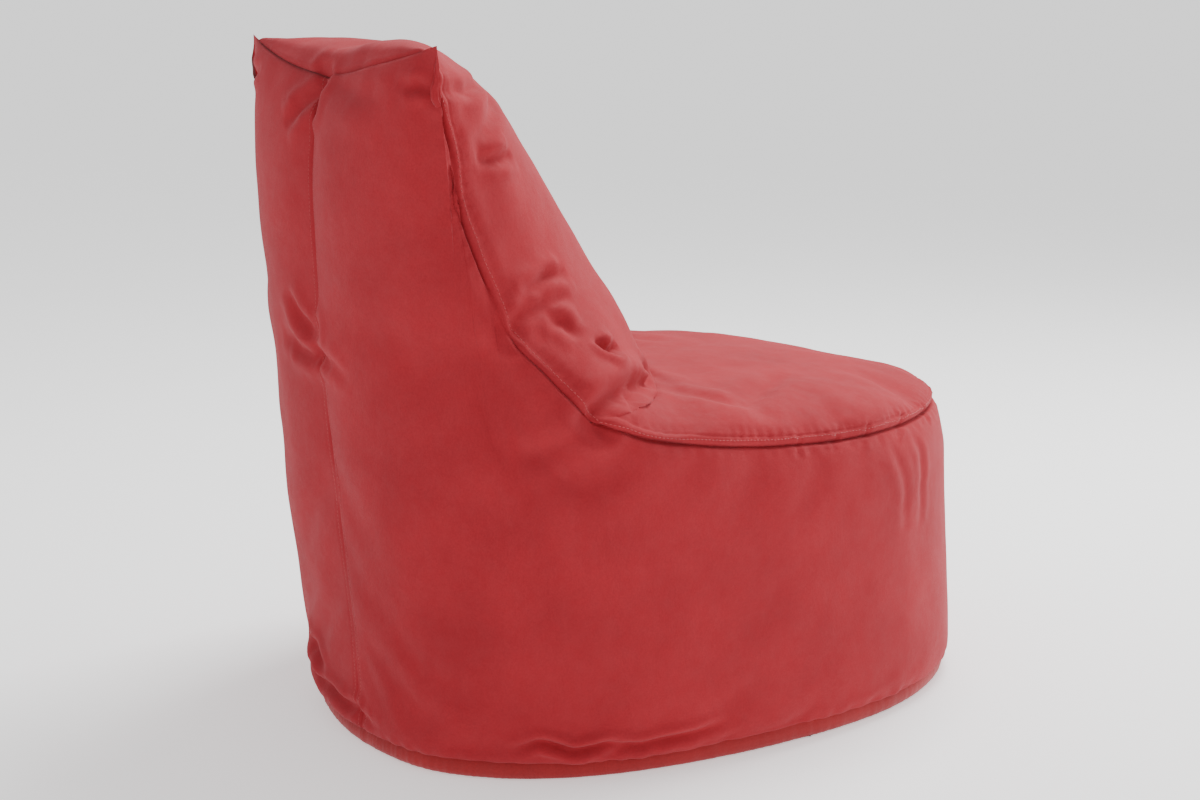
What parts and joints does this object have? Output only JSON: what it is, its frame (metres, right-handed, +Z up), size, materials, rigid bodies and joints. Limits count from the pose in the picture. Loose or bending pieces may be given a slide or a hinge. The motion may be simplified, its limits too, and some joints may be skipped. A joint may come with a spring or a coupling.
{
  "type": "bean bag chair",
  "caption": "One-seat lounge bean bag with a tall leaning backrest, a sewn fabric cover with a base zip, a zipped inner liner and a loose bead filling.",
  "frame": {"origin": "on the floor, at the middle of the whole chair's width and depth", "axes": "+Z up; the chair faces -Y, so its back is at +Y; +X is the sitter's left"},
  "size_m": [0.7464, 0.9475, 0.8797],
  "materials": {
    "cover_fabric": "matte",
    "base_fabric": "matte",
    "zip_tape": "matte",
    "zip_coil": "satin",
    "zip_metal": "satin",
    "liner_fabric": "matte",
    "liner_zip_tape": "matte",
    "liner_zip_coil": "satin",
    "beads": "matte"
  },
  "bodies": {
    "bag": {"front_panel": "cover_fabric", "right_side_panel": "cover_fabric", "left_side_panel": "cover_fabric", "base_panel_front": "base_fabric", "base_panel_rear": "base_fabric", "base_zip_tape_front": "zip_tape", "base_zip_tape_rear": "zip_tape", "base_zip_coil_front": "zip_coil", "base_zip_coil_rear": "zip_coil", "base_zip_end_stops": "zip_metal", "liner_front_panel": "liner_fabric", "liner_right_panel": "liner_fabric", "liner_left_panel": "liner_fabric", "liner_base_front": "liner_fabric", "liner_base_rear": "liner_fabric", "liner_zip_tape_front": "liner_zip_tape", "liner_zip_tape_rear": "liner_zip_tape", "liner_zip_coil_front": "liner_zip_coil", "liner_zip_coil_rear": "liner_zip_coil", "liner_zip_end_stops": "liner_zip_coil", "bead_filling": "beads"},
    "cover_slider": {"base_zip_slider": "zip_metal"},
    "cover_pull_tab": {"base_zip_pull_tab": "zip_metal"},
    "liner_slider": {"liner_zip_slider": "zip_metal"}
  },
  "joints": [
    {"name": "cover_zip_slide", "type": "slide", "parent": "bag", "child": "cover_slider", "axis": [-1, 0, 0], "range_m": [0, 0.456]},
    {"name": "pull_tab_swing", "type": "hinge", "parent": "cover_slider", "child": "cover_pull_tab", "pos_m": [0.228, -0.036, 0.0024], "axis": [0, -1, 0], "range_deg": [0, 180]},
    {"name": "liner_zip_slide", "type": "slide", "parent": "bag", "child": "liner_slider", "axis": [-1, 0, 0], "range_m": [0, 0.456]}
  ]
}
